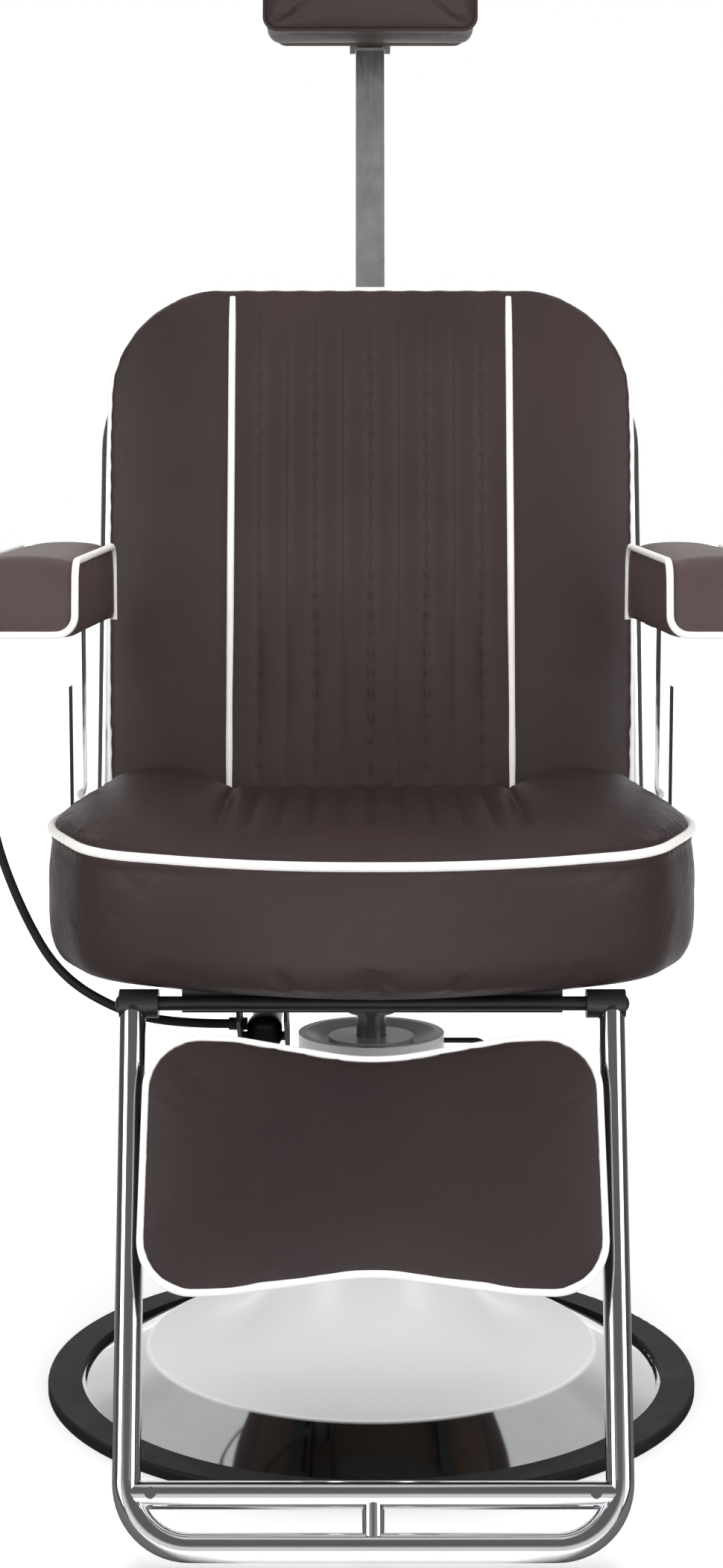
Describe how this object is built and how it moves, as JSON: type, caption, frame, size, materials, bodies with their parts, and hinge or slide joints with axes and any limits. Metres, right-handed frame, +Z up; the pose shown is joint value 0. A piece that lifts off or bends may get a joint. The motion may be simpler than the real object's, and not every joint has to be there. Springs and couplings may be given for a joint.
{
  "type": "threading chair",
  "caption": "Reclining salon chair with channelled seat and back, padded arms, post-mounted headrest, swinging footrest with calf pad, and a hydraulic pedestal on a round dish base.",
  "frame": {"origin": "on the floor, on the axis of the pump column, in the middle of the base plate's underside", "axes": "+Z up; the sitter faces -Y; +X is at the sitter's left hand, on the right of the picture"},
  "size_m": [0.6902, 0.9048, 1.426],
  "materials": {
    "leather": "brown, satin",
    "piping": "white, satin",
    "chrome": "polished",
    "black_paint": "satin",
    "grey_paint": "satin",
    "post_steel": "dull galvanised",
    "steel": "machined",
    "rubber": "matt",
    "black_plastic": "fine grain",
    "board": "black lacquer",
    "screws": "zinc plated"
  },
  "bodies": {
    "base": {"base_dish": "chrome", "base_rim": "rubber", "base_plate": "black_paint", "pump_flange_bolts": "screws", "pump_cylinder": "grey_paint", "pump_gland": "steel", "column_cover": "chrome", "column_cap": "grey_paint"},
    "pedal": {"pump_pedal": "chrome", "pedal_pad": "rubber"},
    "brake": {"brake_lever": "black_paint", "brake_knob": "black_plastic"},
    "lift": {"ram": "steel"},
    "seat": {"thrust_bearing": "steel", "swivel_plate": "black_paint", "swivel_bolts": "screws", "frame_rails": "black_paint", "seat_screws": "screws", "frame_cross_bars": "black_paint", "seat_board": "board", "footrest_axle": "black_paint", "axle_nuts": "black_paint", "back_hinge_pins": "chrome", "seat_cushion": "leather", "seat_piping": "piping", "arm_posts": "chrome", "arm_post_trims": "black_plastic", "arm_boards": "board", "arm_pads": "leather", "arm_piping": "piping", "gas_spring": "black_paint", "spring_bracket": "black_paint", "cable_glands": "black_plastic", "lever_bracket": "black_paint", "release_cable": "rubber"},
    "recline_lever": {"recline_lever": "black_paint", "lever_grip": "black_plastic"},
    "backrest": {"back_hoop": "chrome", "back_cross_bars": "chrome", "back_board": "board", "back_screws": "screws", "back_cushion": "leather", "back_piping": "piping", "headrest_sleeve": "black_paint"},
    "spring_rod": {"spring_rod": "steel"},
    "headrest_post": {"headrest_post": "post_steel"},
    "headrest": {"headrest_bracket": "black_paint", "headrest_board": "board", "headrest_pad": "leather", "headrest_piping": "leather"},
    "headrest_knob": {"headrest_knob": "black_plastic"},
    "footrest": {"footrest_tube": "chrome", "footrest_tread": "chrome", "tread_bolts": "screws", "calf_straps": "chrome", "calf_board": "board", "calf_pad": "leather", "calf_piping": "piping"}
  },
  "joints": [
    {"name": "lift_slide", "type": "slide", "parent": "base", "child": "lift", "axis": [0, 0, 1], "range_m": [0, 0.15]},
    {"name": "seat_swivel", "type": "hinge", "parent": "lift", "child": "seat", "pos_m": [0, 0, 0.37], "axis": [0, 0, 1], "continuous": true},
    {"name": "pedal_press", "type": "hinge", "parent": "base", "child": "pedal", "pos_m": [0, 0.082, 0.192], "axis": [-1, 0, 0], "range_deg": [0, 12], "stiffness_Nm_per_rad": 10, "springref_deg": -11.46},
    {"name": "brake_turn", "type": "hinge", "parent": "base", "child": "brake", "pos_m": [0.0585, 0, 0.32], "axis": [-1, 0, 0], "range_deg": [0, 40]},
    {"name": "recline", "type": "hinge", "parent": "seat", "child": "backrest", "pos_m": [0, 0.218, 0.428], "axis": [-1, 0, 0], "range_deg": [0, 40]},
    {"name": "spring_stroke", "type": "slide", "parent": "seat", "child": "spring_rod", "axis": [0, -1, 0], "range_m": [0, 0.0521]},
    {"name": "lever_pull", "type": "hinge", "parent": "seat", "child": "recline_lever", "pos_m": [-0.35, -0.06, 0.688], "axis": [-1, 0, 0], "range_deg": [0, 18], "stiffness_Nm_per_rad": 1, "springref_deg": -14.32},
    {"name": "footrest_swing", "type": "hinge", "parent": "seat", "child": "footrest", "pos_m": [0, -0.207, 0.398], "axis": [-1, 0, 0], "range_deg": [0, 45]},
    {"name": "headrest_slide", "type": "slide", "parent": "backrest", "child": "headrest_post", "axis": [0, 0.2419, 0.9703], "range_m": [-0.16, 0.06]},
    {"name": "headrest_tilt", "type": "hinge", "parent": "headrest_post", "child": "headrest", "pos_m": [0, 0.45519, 1.29332], "axis": [-1, 0, 0], "range_deg": [-25, 25]},
    {"name": "headrest_knob_turn", "type": "hinge", "parent": "backrest", "child": "headrest_knob", "pos_m": [0, 0.38867, 0.92652], "axis": [0, 0.9703, -0.2419], "range_deg": [0, 180]}
  ],
  "couplings": [
    {"joint": "spring_stroke", "follows": "recline", "m_per_rad": 0.074466}
  ]
}
